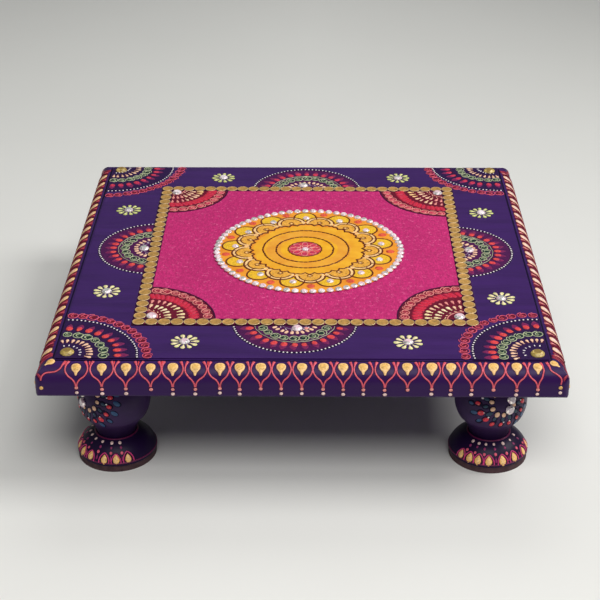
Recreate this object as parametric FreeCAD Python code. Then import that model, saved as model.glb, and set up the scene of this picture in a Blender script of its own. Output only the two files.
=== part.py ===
"""Low square table: a moulded board on four turned legs, with a panel and set stones on top.

Lengths are in millimetres. The origin is on the floor under the middle of the board,
+Z is up and the front of the table faces -Y.
"""
import FreeCAD, Part
import math
import os

V = FreeCAD.Vector
UP = V(0, 0, 1)

# Board
board_side = 304.8
board_thickness = 19.5
board_corner_radius = 4.0
ovolo_radius = 10.5
quirk_width = 1.0
quirk_depth = 0.8
lower_arris_radius = 2.2

# Turned legs, from the pad up to the board
leg_inset = 39.3
foot_diameter = 48.2
foot_rim_height = 1.6
foot_dome_height = 10.7
neck_diameter = 23.4
throat_height = 13.1
ball_diameter = 43.4
ball_crease_setback = 2.3
collar_diameter = 27.0
collar_height = 5.7

# Pad under each foot
pad_setback = 0.4
pad_thickness = 4.0

# Square tenon left on top of each leg, and its mortise in the board
tenon_side = 12.0
tenon_length = 10.0
tenon_clearance = 0.1
tenon_end_room = 0.5

# Panel a little to the right of the board's middle and behind it, and the trim along its edge
panel_thickness = 0.5
panel_lap = 1.5
panel_shift = 1.7
panel_setback = 1.0
border_side = 199.2
trim_disc_diameter = 7.4
trim_disc_gap = 0.25
trim_disc_thickness = 0.35
trim_disc_sides = 6

# Round ground of the mandala, with its ring of stones; shifts are from the board's middle
mandala_diameter = 122.4
mandala_shift = 3.3
mandala_setback = 0.4
centre_stone_shift = 0.8
mandala_thickness = 0.6
mandala_sides = 65
ring_inset = 1.2
ring_stone_gap = 0.75
petal_stone_count = 13
petal_stone_inset = 11.8
petal_stone_start_angle = 9.3

# Stones, by width
small_stone_width = 4.6
flower_stone_width = 6.2
panel_corner_stone_width = 6.6
side_stone_width = 6.5
corner_stone_width = 8.2
leg_stone_width = 6.0

# Cut of a stone: heights and table as shares of its width, and the count of its sides
stone_height_share = 0.25
stone_table_share = 0.62
stone_sides = 8
small_stone_sides = 5

# Places of the stones on the board
corner_stone_inset = 17.2
panel_corner_stone_inset = 7.1
side_stone_offset = 7.0
flower_stone_offset = 22.3
flower_places_shares = {"front": (-0.450, 0.405), "rear": (-0.389, 0.443),
                        "left": (-0.384, 0.422), "right": (-0.436, 0.400)}
side_stone_shift_shares = {"front": -0.032, "rear": -0.018, "left": 0.012, "right": 0.004}

# Painted patch of each ball: the way it faces, from -Y towards +X and up, as shares of a full turn
patch_bearing_shares = {"front_left": -0.125, "front_right": 0.05, "rear_left": -0.375, "rear_right": 0.375}
patch_rise_share = 0.0556
leg_stone_turn_shares = ((0.019, -0.033), (0.033, 0.011))

# Small overrun of a cut past the face that it opens
overrun = 1.0

# Heights and places that follow
rb = ball_diameter / 2
crease_r = rb - ball_crease_setback
crease_drop = math.sqrt(rb ** 2 - crease_r ** 2)
collar_rise = math.sqrt(rb ** 2 - (collar_diameter / 2) ** 2)
rim_z = pad_thickness + foot_rim_height
neck_z = rim_z + foot_dome_height
crease_z = neck_z + throat_height
ball_z = crease_z + crease_drop
collar_z = ball_z + collar_rise
underside_z = collar_z + collar_height
top_z = underside_z + board_thickness
panel_top_z = top_z + panel_thickness
mandala_top_z = panel_top_z + mandala_thickness
half_board = board_side / 2
half_border = border_side / 2
ring_diameter = mandala_diameter - 2 * ring_inset
petal_stone_circle = ring_diameter - 2 * petal_stone_inset
leg_offset = half_board - leg_inset
leg_places = {
    "front_left": V(-leg_offset, -leg_offset, 0),
    "front_right": V(leg_offset, -leg_offset, 0),
    "rear_left": V(-leg_offset, leg_offset, 0),
    "rear_right": V(leg_offset, leg_offset, 0),
}
side_turns = {"front": 0, "right": 90, "rear": 180, "left": 270}
panel_move = V(panel_shift, panel_setback, 0)
mandala_move = V(mandala_shift, mandala_setback, 0)


def save(name, solids):
    """Write one node: a single solid or a group of separate ones."""
    shape = solids[0] if len(solids) == 1 else Part.makeCompound(solids)
    shape.exportStep(os.path.join("parts", name + ".step"))
    volume = sum(s.Volume for s in solids)
    print(f"{name}: {len(solids)} solids, {volume:.1f} mm3, valid {shape.isValid()}")


def polyline(points):
    """Straight edges from point to point."""
    return [Part.makeLine(a, b) for a, b in zip(points, points[1:])]


def centred_arc(low, high):
    """Arc in the XZ plane between two points, with its centre on the Z axis."""
    centre_z = (low.x ** 2 + low.z ** 2 - high.x ** 2 - high.z ** 2) / (2 * (low.z - high.z))
    radius = math.hypot(low.x, low.z - centre_z)
    turn = (math.atan2(low.x, low.z - centre_z) + math.atan2(high.x, high.z - centre_z)) / 2
    middle = V(radius * math.sin(turn), 0, centre_z + radius * math.cos(turn))
    return Part.Arc(low, middle, high).toShape()


def turned(edges):
    """Solid of revolution about Z from a closed outline in the XZ plane."""
    return Part.Face(Part.Wire(edges)).revolve(V(0, 0, 0), UP, 360)


def copies(solid, places):
    """The same solid moved to each place."""
    return [solid.translated(p) for p in places]


def all_moved(solids, way):
    """The same solids, all moved the same way."""
    return [solid.translated(way) for solid in solids]


def edge_profile():
    """Section of the board: flat top, quirk, ovolo, upright band and eased lower arris."""
    quirk_x = half_board - ovolo_radius
    quirk_z = top_z - quirk_depth
    band_z = quirk_z - ovolo_radius
    ovolo_reach = ovolo_radius * math.sin(math.pi / 4)
    ovolo_mid = V(quirk_x + ovolo_reach, 0, band_z + ovolo_reach)
    arris_centre = V(half_board - lower_arris_radius, 0, underside_z + lower_arris_radius)
    arris_reach = lower_arris_radius * math.sin(math.pi / 4)
    arris_mid = arris_centre + V(arris_reach, 0, -arris_reach)
    right = [
        Part.makeLine(V(0, 0, top_z), V(quirk_x - quirk_width, 0, top_z)),
        Part.makeLine(V(quirk_x - quirk_width, 0, top_z), V(quirk_x - quirk_width, 0, quirk_z)),
        Part.makeLine(V(quirk_x - quirk_width, 0, quirk_z), V(quirk_x, 0, quirk_z)),
        Part.Arc(V(quirk_x, 0, quirk_z), ovolo_mid, V(half_board, 0, band_z)).toShape(),
        Part.makeLine(V(half_board, 0, band_z), V(half_board, 0, arris_centre.z)),
        Part.Arc(V(half_board, 0, arris_centre.z), arris_mid, V(arris_centre.x, 0, underside_z)).toShape(),
        Part.makeLine(V(arris_centre.x, 0, underside_z), V(0, 0, underside_z)),
    ]
    left = [e.mirror(V(0, 0, 0), V(1, 0, 0)) for e in right]
    return Part.Face(Part.Wire(Part.sortEdges(right + left)[0]))


def rounded_square(side, radius, z, height):
    """Upright block with rounded corners, centred on the origin."""
    block = upright_block(side, z, height)
    upright = [e for e in block.Edges if abs(e.tangentAt(e.FirstParameter).z) > 0.5]
    return block.makeFillet(radius, upright)


def upright_block(side, z, height):
    """Square block standing at height z on the Z axis."""
    return Part.makeBox(side, side, height, V(-side / 2, -side / 2, z))


def make_board():
    """One board, moulded on all four edges, with its corners eased and a mortise for each leg."""
    section = edge_profile()
    span = board_side + 2 * overrun
    along_y = section.translated(V(0, -span / 2, 0)).extrude(V(0, span, 0))
    along_x = along_y.copy()
    along_x.rotate(V(0, 0, 0), UP, 90)
    board = along_x.common(along_y)
    low = underside_z - overrun
    blank = rounded_square(board_side, board_corner_radius, low, board_thickness + 2 * overrun)
    board = board.common(blank)
    mortise_depth = tenon_length + tenon_end_room
    mortise = upright_block(tenon_side + 2 * tenon_clearance, low, mortise_depth + overrun)
    board = board.cut(copies(mortise, leg_places.values()))
    return board.removeSplitter().Solids[0]


def make_leg():
    """One turned leg on its own axis: domed foot, flared throat, ball, collar and square tenon."""
    foot_r = foot_diameter / 2
    collar_r = collar_diameter / 2
    rim = V(foot_r, 0, rim_z)
    neck = V(neck_diameter / 2, 0, neck_z)
    crease = V(crease_r, 0, crease_z)
    collar = V(collar_r, 0, collar_z)
    outline = polyline([V(0, 0, underside_z), V(0, 0, pad_thickness), V(foot_r, 0, pad_thickness), rim])
    outline.append(centred_arc(rim, neck))
    outline.append(Part.makeLine(neck, crease))
    outline.append(Part.Arc(crease, V(rb, 0, ball_z), collar).toShape())
    outline += polyline([collar, V(collar_r, 0, underside_z), V(0, 0, underside_z)])
    tenon = upright_block(tenon_side, underside_z - overrun, tenon_length + overrun)
    return turned(outline).fuse(tenon).removeSplitter().Solids[0]


def make_pad():
    """Flat round pad under a foot."""
    return Part.makeCylinder(foot_diameter / 2 - pad_setback, pad_thickness)


def corners(width, count, z):
    """Corners of a regular polygon in a level plane, of that width across them."""
    turns = [2 * math.pi * i / count for i in range(count)]
    return [V(width / 2 * math.cos(t), width / 2 * math.sin(t), z) for t in turns]


def flat_face(points):
    """Flat face inside a closed run of straight edges."""
    return Part.Face(Part.makePolygon(points + points[:1]))


def faceted(levels):
    """Solid with flat sides through a stack of level polygons of equal count."""
    faces = [flat_face(levels[0]), flat_face(levels[-1])]
    for low, high in zip(levels, levels[1:]):
        for i in range(len(low)):
            j = (i + 1) % len(low)
            faces.append(flat_face([low[i], low[j], high[j], high[i]]))
    solid = Part.Solid(Part.Shell(faces))
    return solid if solid.Volume > 0 else solid.reversed()


def make_stone(width, sides):
    """Flat-backed stone with a flat table, standing on the level plane through the origin."""
    base = corners(width, sides, 0)
    table = corners(width * stone_table_share, sides, width * stone_height_share)
    return faceted([base, table])


def round_places(diameter, count, start_angle, z):
    """Points evenly spaced on a level circle about the middle of the table, with their bearings."""
    found = []
    for i in range(count):
        angle = start_angle + 360.0 * i / count
        a = math.radians(angle)
        found.append((V(diameter / 2 * math.cos(a), diameter / 2 * math.sin(a), z), angle))
    return found


def turned_copies(solid, placed):
    """The same solid turned to each bearing and moved to its place."""
    made = []
    for place, angle in placed:
        one = solid.copy()
        one.rotate(V(0, 0, 0), UP, angle)
        made.append(one.translated(place))
    return made


def side_place(side, along, out, z):
    """Point given along one side of the table and outwards from its middle."""
    spin = FreeCAD.Rotation(UP, side_turns[side])
    flip = -1 if side in ("rear", "left") else 1
    return spin.multVec(V(flip * along, -out, z))


def trim_places(side):
    """Middles of the discs along one side of the panel, with one of its two corner discs."""
    count = round(border_side / (trim_disc_diameter + trim_disc_gap))
    spin = FreeCAD.Rotation(UP, side_turns[side])
    starts = [V(-half_border + border_side * i / count, -half_border, panel_top_z) for i in range(count)]
    return [spin.multVec(start) + panel_move for start in starts]


def corner_places(offset, z):
    """The four corners of a level square."""
    return [V(x * offset, y * offset, z) for x in (-1, 1) for y in (-1, 1)]


def flower_places():
    """Two points on each side of the board, where the stones of the small flowers sit."""
    out = half_border + flower_stone_offset
    return [side_place(side, share * half_board, out, top_z)
            for side, shares in flower_places_shares.items() for share in shares]


def make_leg_stones(name):
    """Stones set flat on the ball of one leg, about the middle of its painted patch."""
    made = []
    patch_share = patch_bearing_shares[name]
    away = math.copysign(1, patch_share)
    for turn_share, climb_share in leg_stone_turn_shares:
        bearing = 2 * math.pi * (patch_share + away * turn_share)
        rise = 2 * math.pi * (patch_rise_share + climb_share)
        out = V(math.sin(bearing) * math.cos(rise), -math.cos(bearing) * math.cos(rise), math.sin(rise))
        stone = make_stone(leg_stone_width, stone_sides)
        seat = leg_places[name] + V(0, 0, ball_z) + out * rb
        stone.Placement = FreeCAD.Placement(seat, FreeCAD.Rotation(UP, out))
        made.append(stone)
    return made


def main():
    os.makedirs("parts", exist_ok=True)
    save("top_board", [make_board()])
    save("turned_legs", copies(make_leg(), leg_places.values()))
    save("foot_pads", copies(make_pad(), leg_places.values()))

    panel = upright_block(border_side + 2 * panel_lap, top_z, panel_thickness)
    save("centre_panel", [panel.translated(panel_move)])
    disc = faceted([corners(trim_disc_diameter, trim_disc_sides, z) for z in (0, trim_disc_thickness)])
    save("border_trim", [one for side in side_turns for one in copies(disc, trim_places(side))])
    ground = [corners(mandala_diameter, mandala_sides, z) for z in (panel_top_z, mandala_top_z)]
    save("mandala_ground", copies(faceted(ground), [mandala_move]))

    small_stone = make_stone(small_stone_width, small_stone_sides)
    ring_count = int(math.pi * ring_diameter / (small_stone_width + ring_stone_gap))
    ring_places = round_places(ring_diameter, ring_count, 0.0, mandala_top_z)
    save("ring_stones", all_moved(turned_copies(small_stone, ring_places), mandala_move))
    petal_places = round_places(petal_stone_circle, petal_stone_count, petal_stone_start_angle,
                                mandala_top_z)
    save("petal_stones", all_moved(turned_copies(small_stone, petal_places), mandala_move))
    save("centre_stone", [small_stone.translated(V(centre_stone_shift, 0, mandala_top_z))])

    corner_stone = make_stone(corner_stone_width, stone_sides)
    save("corner_stones", copies(corner_stone, corner_places(half_board - corner_stone_inset, top_z)))
    panel_corner_stone = make_stone(panel_corner_stone_width, stone_sides)
    inner_places = corner_places(half_border - panel_corner_stone_inset, panel_top_z)
    save("panel_corner_stones", all_moved(copies(panel_corner_stone, inner_places), panel_move))
    out = half_border + side_stone_offset
    side_places = [side_place(side, share * half_board, out, top_z)
                   for side, share in side_stone_shift_shares.items()]
    side_stones = copies(make_stone(side_stone_width, stone_sides), side_places)
    save("side_stones", all_moved(side_stones, panel_move))
    save("flower_stones", copies(make_stone(flower_stone_width, stone_sides), flower_places()))
    save("leg_stones", [stone for name in leg_places for stone in make_leg_stones(name)])
    print(f"height to the board's top {top_z:.2f} mm, leg axes {leg_offset:.2f} mm from the middle")


main()
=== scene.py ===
"""Low square table with relief painting, cut stones and a trim of discs, in a plain pale studio.

Lengths are in millimetres in every table and shape, and turn into metres where a shape is laid
on its surface.
"""
import random
from math import acos, asin, atan2, copysign, cos, degrees, dist, exp, hypot, pi, radians, sin, sqrt

import bmesh
import bpy
from mathutils import Matrix, Vector


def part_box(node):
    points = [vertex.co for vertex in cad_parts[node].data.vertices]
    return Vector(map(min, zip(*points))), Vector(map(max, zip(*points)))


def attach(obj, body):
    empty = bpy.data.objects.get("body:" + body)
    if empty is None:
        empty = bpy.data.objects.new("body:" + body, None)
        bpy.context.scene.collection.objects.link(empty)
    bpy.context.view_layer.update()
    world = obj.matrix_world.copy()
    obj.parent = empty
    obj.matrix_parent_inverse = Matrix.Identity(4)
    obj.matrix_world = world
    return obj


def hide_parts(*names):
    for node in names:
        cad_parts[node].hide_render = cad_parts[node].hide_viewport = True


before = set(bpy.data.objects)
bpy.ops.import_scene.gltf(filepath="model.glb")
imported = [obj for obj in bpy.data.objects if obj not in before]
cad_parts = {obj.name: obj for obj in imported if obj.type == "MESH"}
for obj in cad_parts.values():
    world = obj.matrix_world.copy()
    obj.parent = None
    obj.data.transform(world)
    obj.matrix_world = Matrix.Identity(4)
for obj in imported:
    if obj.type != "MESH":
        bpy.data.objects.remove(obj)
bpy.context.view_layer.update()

rng = random.Random(7)

MM = 0.001

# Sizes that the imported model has
half_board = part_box("top_board")[1].x / MM
top_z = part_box("top_board")[1].z / MM
panel_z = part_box("centre_panel")[1].z / MM
ground_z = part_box("mandala_ground")[1].z / MM
ovolo_radius = 10.5
quirk_depth = 0.8
corner_radius = 4.0
band_z = top_z - quirk_depth - ovolo_radius
disc_line = 99.6
disc_radius = 3.7
leg_offset = 113.1
ball_radius = 21.7
ball_z = 39.12


def middle(node):
    """Middle of a node's box in plan."""
    low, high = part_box(node)
    return (low.x + high.x) / 2 / MM, (low.y + high.y) / 2 / MM


panel_x, panel_y = middle("centre_panel")
round_x, round_y = middle("mandala_ground")

# Where each leg stands, the bearing that its painted patch faces, and its petals' bearings from there
legs = (
    (-leg_offset, -leg_offset, -45, (-70, -51, -31, -11.5, 7.8, 31.5, 49.7, 68.4)),
    (leg_offset, -leg_offset, 18, (-68, -52.5, -38, -22, -1, 19, 43.5, 64)),
    (-leg_offset, leg_offset, -135, (-61, -41, -20, 0, 21, 41, 61)),
    (leg_offset, leg_offset, 135, (-62, -41, -21, 0, 20, 41, 62)),
)

# Turn of each ball's two stones from its patch's bearing, and their rise from level, in degrees
leg_stone_places = ((6.84, 8.136), (11.88, 23.976))

# Depth of every raised shape's foot in its surface, and height of the thin dark margin under raised shapes,
# which is a painted contact shadow
sink = 0.05
contact_shadow_height = 0.05

# Colours, as they look on a screen
colours = {
    "white": (250, 238, 240), "blush": (244, 210, 202), "cream": (250, 228, 184), "lime": (226, 224, 150),
    "peach": (250, 200, 165), "rose": (240, 150, 142), "salmon": (238, 122, 108), "coral": (220, 66, 72),
    "red": (222, 50, 70), "pink": (226, 92, 108), "candy": (234, 96, 120), "plum": (76, 25, 76),
    "night": (44, 23, 68), "claret": (104, 20, 44), "cherry": (140, 26, 54), "rosebud": (200, 48, 84),
    "scarlet": (206, 38, 66), "midnight": (24, 14, 46), "maroon": (66, 16, 52), "garnet": (158, 40, 62),
    "wine": (104, 22, 70), "honey": (255, 196, 112), "orchid": (212, 60, 124), "green": (196, 206, 162),
    "olive": (190, 196, 116), "ember": (228, 86, 72), "moss": (30, 50, 46), "lilac": (150, 130, 160),
    "bark": (104, 40, 14), "gold": (240, 190, 108), "butter": (250, 224, 170), "saffron": (236, 170, 62),
    "apricot": (255, 206, 140), "lemon": (240, 188, 40), "tangerine": (228, 98, 58), "teal": (38, 64, 88),
    "blue": (44, 80, 122), "magenta": (150, 40, 100), "mulberry": (122, 30, 84),
}
matte = ("plum", "night", "claret", "maroon", "cherry", "midnight", "moss")


# Materials

def linear(rgb):
    """Screen colour, 0 to 255, as the linear colour that a shader takes."""
    shares = [c / 255 for c in rgb]
    return [c / 12.92 if c <= 0.04045 else ((c + 0.055) / 1.055) ** 2.4 for c in shares] + [1.0]


def shade(rgb, share):
    """The same colour, lighter or darker by a share of itself."""
    return linear([min(255, c * share) for c in rgb])


class Nodes:
    """One material's node tree, with short calls for its usual nodes."""

    def __init__(self, name, **values):
        self.material = bpy.data.materials.new(name)
        self.material.use_nodes = True
        self.tree = self.material.node_tree
        self.shader = next(n for n in self.tree.nodes if n.type == "BSDF_PRINCIPLED")
        self.place = self.add("TexCoord", {}).outputs["Object"]
        self.put(self.shader, {key.replace("_", " "): value for key, value in values.items()})

    def add(self, kind, values):
        return self.put(self.tree.nodes.new("ShaderNode" + kind), values)

    def put(self, node, values):
        """Sets sockets, by name or place, to a value or to another node's output."""
        for key, value in values.items():
            if isinstance(value, bpy.types.NodeSocket):
                self.tree.links.new(value, node.inputs[key])
            else:
                node.inputs[key].default_value = value
        return node

    def noise(self, scale, detail=2.0, stretch=(1, 1, 1), turn=0.0, rough=0.5):
        place = self.add("Mapping", {"Vector": self.place, "Scale": stretch, "Rotation": (0, 0, turn)})
        values = {"Vector": place.outputs[0], "Scale": scale, "Detail": detail, "Roughness": rough}
        return self.add("TexNoise", values).outputs["Fac"]

    def ramp(self, factor, stops, smooth=True):
        """Colour by a factor, from stops of a place and a colour."""
        node = self.add("ValToRGB", {0: factor})
        node.color_ramp.interpolation = "LINEAR" if smooth else "CONSTANT"
        while len(node.color_ramp.elements) < len(stops):
            node.color_ramp.elements.new(0.5)
        for element, (at, colour) in zip(node.color_ramp.elements, stops):
            element.position = at
            element.color = colour
        return node.outputs[0]

    def shades(self, factor, rgb, *stops):
        """The same from stops of a place and a share of one colour."""
        return self.ramp(factor, [(at, shade(rgb, share)) for at, share in stops])

    def mix(self, factor, a, b, blend="MIX"):
        node = self.add("Mix", {})
        node.data_type = "RGBA"
        node.blend_type = blend
        return self.put(node, {0: factor, 6: a, 7: b}).outputs[2]

    def math(self, kind, a, b=0.0):
        node = self.add("Math", {0: a, 1: b})
        node.operation = kind
        return node.outputs[0]

    def span(self, value, low, high, to_low=0.0, to_high=1.0):
        """The value, carried over from one span to another and held to its ends."""
        return self.add("MapRange", {0: value, 1: low, 2: high, 3: to_low, 4: to_high}).outputs[0]

    def bump(self, height, distance, strength=1.0):
        node = self.add("Bump", {"Height": height, "Distance": distance, "Strength": strength})
        self.put(self.shader, {"Normal": node.outputs[0]})

    def colour(self, value):
        self.put(self.shader, {"Base Color": value})

    def roughness(self, value):
        self.put(self.shader, {"Roughness": value})

    def axis(self, index):
        return self.add("SeparateXYZ", {0: self.place}).outputs[index]


def relief_paint(name):
    """Thick paint from a cone: glossy, a little uneven in colour and surface. Grounds are duller."""
    rough, gloss = (0.6, 0.12) if name in matte else (0.34, 0.35)
    m = Nodes("paint_" + name, Roughness=rough, Specular_IOR_Level=gloss)
    m.colour(m.shades(m.noise(900.0, 3.0), colours[name], (0.3, 0.84), (0.55, 1.0), (0.75, 1.07)))
    m.bump(m.noise(2600.0, 2.0), 0.00012, 0.5)
    return m.material


def wood_paint(name, rgb, low_tone_and_shade_rgb, low_z, high_z):
    """Brushed satin paint on wood, which fades to a darker colour from one height down to a lower one. The
    darker colour is in part painted shade.
    """
    m = Nodes(name, Specular_IOR_Level=0.2)
    strokes = m.noise(60.0, 4.0, (0.35, 3.0, 3.0), 0.2)
    cloudy = m.noise(22.0, 3.0)
    base = m.shades(strokes, rgb, (0.3, 0.90), (0.5, 1.0), (0.72, 1.07))
    base = m.mix(m.span(cloudy, 0.35, 0.7, 0.0, 0.5), base, shade(rgb, 0.91))
    m.colour(m.mix(m.span(m.axis(2), high_z * MM, low_z * MM), base, linear(low_tone_and_shade_rgb)))
    m.roughness(m.span(cloudy, 0.3, 0.7, 0.34, 0.46))
    m.bump(m.noise(260.0, 4.0, (0.4, 2.0, 2.0), 0.2), 0.0002, 0.35)
    return m.material


def raw_silk(name, rgb):
    """Thin woven cloth, glued flat, with short lighter slubs and fine pale fibres."""
    m = Nodes(name, Roughness=0.7, Specular_IOR_Level=0.12)
    threads = m.noise(520.0, 3.0, (1.9, 0.8, 1.0), 0.5, 0.68)
    cross = m.noise(430.0, 2.0, (0.8, 2.2, 1.0), 0.2, 0.6)
    cloudy = m.noise(30.0, 3.0)
    slub, faded, fibre = (linear(c) for c in ((236, 110, 160), (222, 84, 142), (246, 130, 176)))
    stops = [(at, shade(rgb, share)) for at, share in ((0.28, 0.84), (0.5, 1.0), (0.66, 1.12))]
    base = m.ramp(threads, stops + [(0.82, slub)])
    base = m.mix(m.span(cross, 0.55, 0.8, 0.0, 0.35), base, faded)
    base = m.mix(m.span(cloudy, 0.4, 0.7, 0.0, 0.4), base, shade(rgb, 0.92))
    offset = m.math("ABSOLUTE", m.math("SUBTRACT", m.noise(250.0, 2.0), 0.5))
    share = m.math("MULTIPLY", m.span(offset, 0.0, 0.022, 0.6, 0.0), m.span(m.noise(340.0, 2.0), 0.53, 0.6))
    m.colour(m.mix(share, base, fibre))
    m.bump(m.math("ADD", threads, cross), 0.0002, 0.4)
    return m.material


def enamel_bands(name, bands):
    """Painted ground in rings: each band is its outer radius and its colour."""
    m = Nodes(name, Roughness=0.42, Specular_IOR_Level=0.2)
    whole = 70.0 * MM
    x = m.math("SUBTRACT", m.axis(0), round_x * MM)
    y = m.math("SUBTRACT", m.axis(1), round_y * MM)
    radius = m.math("SQRT", m.math("ADD", m.math("POWER", x, 2.0), m.math("POWER", y, 2.0)))
    uneven = m.span(m.noise(160.0, 2.0), 0.3, 0.7, -0.0006, 0.0006)
    share = m.span(m.math("ADD", radius, uneven), 0.0, whole)
    starts = [0.0] + [reach * MM / whole for reach, _ in bands]
    base = m.ramp(share, [(at, linear(rgb)) for at, (_, rgb) in zip(starts, bands)], smooth=False)
    cloudy = m.span(m.noise(120.0, 3.0), 0.35, 0.7, 0.0, 0.35)
    m.colour(m.mix(cloudy, base, linear((222, 150, 34)), "MULTIPLY"))
    m.bump(m.noise(500.0, 2.0), 0.0002, 0.3)
    return m.material


def stone_face(name, rgb, rough=0.16, coat=0.4):
    """One kind of facet of a cut stone over foil: smooth, pale and a little cloudy."""
    m = Nodes(name, Roughness=rough, Specular_IOR_Level=0.6, Coat_Weight=coat, Coat_Roughness=0.06)
    m.colour(m.shades(m.noise(600.0, 2.0), rgb, (0.35, 0.9), (0.55, 1.0), (0.75, 1.06)))
    return m.material


def worn_metal(name, rgb, rough):
    """Soft metal with small marks and a duller bloom in places."""
    m = Nodes(name, Metallic=0.55)
    m.colour(m.shades(m.noise(500.0, 4.0), rgb, (0.3, 0.82), (0.55, 1.0), (0.8, 1.1)))
    m.roughness(m.span(m.noise(140.0, 3.0), 0.3, 0.7, rough - 0.08, rough + 0.1))
    m.bump(m.noise(900.0, 3.0), 0.0001, 0.4)
    return m.material


def rubber(name, rgb):
    """Matte moulded rubber with dust and fine grain."""
    m = Nodes(name, Roughness=0.82, Specular_IOR_Level=0.2)
    m.colour(m.shades(m.noise(300.0, 4.0), rgb, (0.35, 0.86), (0.7, 1.12)))
    m.bump(m.noise(1500.0, 3.0), 0.0001, 0.5)
    return m.material


paints = {name: relief_paint(name) for name in colours}


# Surfaces that shapes are laid on: each takes two lengths along it and a height above it

def flat_lay(z):
    """Level surface at height z."""
    return lambda x, y, h: Vector((x, y, z + h)) * MM


on_top = flat_lay(top_z)


def rounded_corner(a, b, h):
    """Pulls a point of the outline in to the board's rounded upright corners."""
    inner = half_board - corner_radius
    da, db = abs(a) - inner, abs(b) - inner
    reach = hypot(da, db)
    if da > 0 and db > 0 and reach > corner_radius + h:
        pull = (corner_radius + h) / reach
        a = copysign(inner + da * pull, a)
        b = copysign(inner + db * pull, b)
    return a, b


def edge_lay(side):
    """Moulded edge of one side: along it, and down its ovolo and upright band from the quirk.

    The rear row lies lower and is less tall, because nothing of it shows over the board's rear edge.
    """
    turn = Matrix.Rotation(radians({"front": 0, "right": 90, "rear": 180, "left": 270}[side]), 3, "Z")
    round_length = ovolo_radius * pi / 2
    start, share = (5.8, 0.75) if side == "rear" else (0.0, 1.0)

    def lay(along, down, h):
        down = start + share * down
        if down < round_length:
            bend = down / ovolo_radius
            out = half_board - ovolo_radius + (ovolo_radius + h) * sin(bend)
            z = band_z + (ovolo_radius + h) * cos(bend)
        else:
            out, z = half_board + h, band_z - (down - round_length)
        along, out = rounded_corner(along, out, h)
        return turn @ Vector((along, -out, z)) * MM
    return lay


def corner_lay(x, y, h):
    """Moulded edge about a corner of the board, drawn in plan."""
    out = max(abs(x), abs(y))
    bend = asin(min(1.0, max(0.0, (out - half_board + ovolo_radius) / ovolo_radius)))
    grow = h * sin(bend) / sqrt(2)
    z = band_z + (ovolo_radius + h) * cos(bend)
    return Vector((x + copysign(grow, x), y + copysign(grow, y), z)) * MM


def facing(bearing, rise):
    """Direction of a bearing, from -Y towards +X, and a rise."""
    b, r = radians(bearing), radians(rise)
    return Vector((sin(b) * cos(r), -cos(b) * cos(r), sin(r)))


def ball_lay(x, y, bearing, rise):
    """Ball of a leg about the point that faces one way."""
    face = facing(bearing, rise)
    level = facing(bearing + 90, 0)
    climb = face.cross(level).normalized()

    def lay(u, v, h):
        reach = hypot(u, v)
        turn = reach / ball_radius
        way = (level * u + climb * v) / reach if reach > 1e-9 else level
        out = face * cos(turn) + way * sin(turn)
        return (Vector((x, y, ball_z)) + out * (ball_radius + h)) * MM
    return lay


def arc(start, end, bulge, count):
    """Points of an arc between two, swelling to the right of the way it runs."""
    (x0, z0), (x1, z1) = start, end
    chord = hypot(x1 - x0, z1 - z0)
    radius = (chord ** 2 / 4 + bulge ** 2) / (2 * bulge)
    half = asin(chord / 2 / radius)
    ux, uz = (x1 - x0) / chord, (z1 - z0) / chord
    found = []
    for i in range(count + 1):
        turn = half * (2 * i / count - 1)
        along = radius * sin(turn) + chord / 2
        out = radius * cos(turn) - radius * cos(half)
        found.append((x0 + ux * along + uz * out, z0 + uz * along - ux * out))
    return found


# Outline of a leg from the pad to the collar: rim, dome, waist, ball, collar
dome_profile = arc((24.1, 5.3), (11.7, 16.3), 2.3, 12)
leg_profile = [(23.9, 4.0), (24.1, 4.2)] + dome_profile
leg_profile += arc((11.7, 16.3), (18.9, 28.6), -0.9, 8)[1:] + [(19.3, 29.2)]
for step in range(15):
    climb = radians(-26.6 + (51.5 + 26.6) * step / 14)
    leg_profile.append((ball_radius * cos(climb), ball_z + ball_radius * sin(climb)))
leg_profile += [(13.5, 56.3), (13.5, 61.8)]


def foot_lay(x, y):
    """Dome of a foot: round it by bearing, and up it from the rim."""
    lengths = [0.0]
    for start, end in zip(dome_profile, dome_profile[1:]):
        lengths.append(lengths[-1] + dist(start, end))

    def lay(bearing, up, h):
        b = radians(bearing)
        i = max(1, min(len(lengths) - 1, sum(length < up for length in lengths)))
        share = (up - lengths[i - 1]) / (lengths[i] - lengths[i - 1])
        (x0, z0), (x1, z1) = dome_profile[i - 1], dome_profile[i]
        size = hypot(x1 - x0, z1 - z0)
        reach = x0 + (x1 - x0) * share + h * (z1 - z0) / size
        z = z0 + (z1 - z0) * share - h * (x1 - x0) / size
        return Vector((x + reach * sin(b), y - reach * cos(b), z)) * MM
    return lay


# Shapes, drawn about the origin and pointing along +X: their points are (x, y, height)

def turns(count, shift=0.0):
    """Cosine and sine of evenly spaced turns of a circle."""
    angles = [2 * pi * (i + shift) / count for i in range(count)]
    return [(cos(a), sin(a)) for a in angles]


def walls(rows, sides):
    """Faces between rings of points that follow each other."""
    return [(low + i, low + (i + 1) % sides, low + sides + (i + 1) % sides, low + sides + i)
            for low in range(0, (rows - 1) * sides, sides) for i in range(sides)]


def ring(row, sides):
    """Face that closes one of the rings."""
    return tuple(range(row * sides, (row + 1) * sides))


def tip(rows, sides):
    """Faces from the last ring to one point after it."""
    last = (rows - 1) * sides
    return [(last + i, last + (i + 1) % sides, last + sides) for i in range(sides)]


def dome(length, width, height):
    """Oval button of paint."""
    sides = 10
    rows = ((1.0, -sink), (0.96, 0.4 * height), (0.74, 0.8 * height), (0.38, 0.97 * height))
    points = [(size * length / 2 * c, size * width / 2 * s, h) for size, h in rows for c, s in turns(sides)]
    return points + [(0, 0, height)], [ring(0, sides)] + walls(len(rows), sides) + tip(len(rows), sides)


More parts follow.
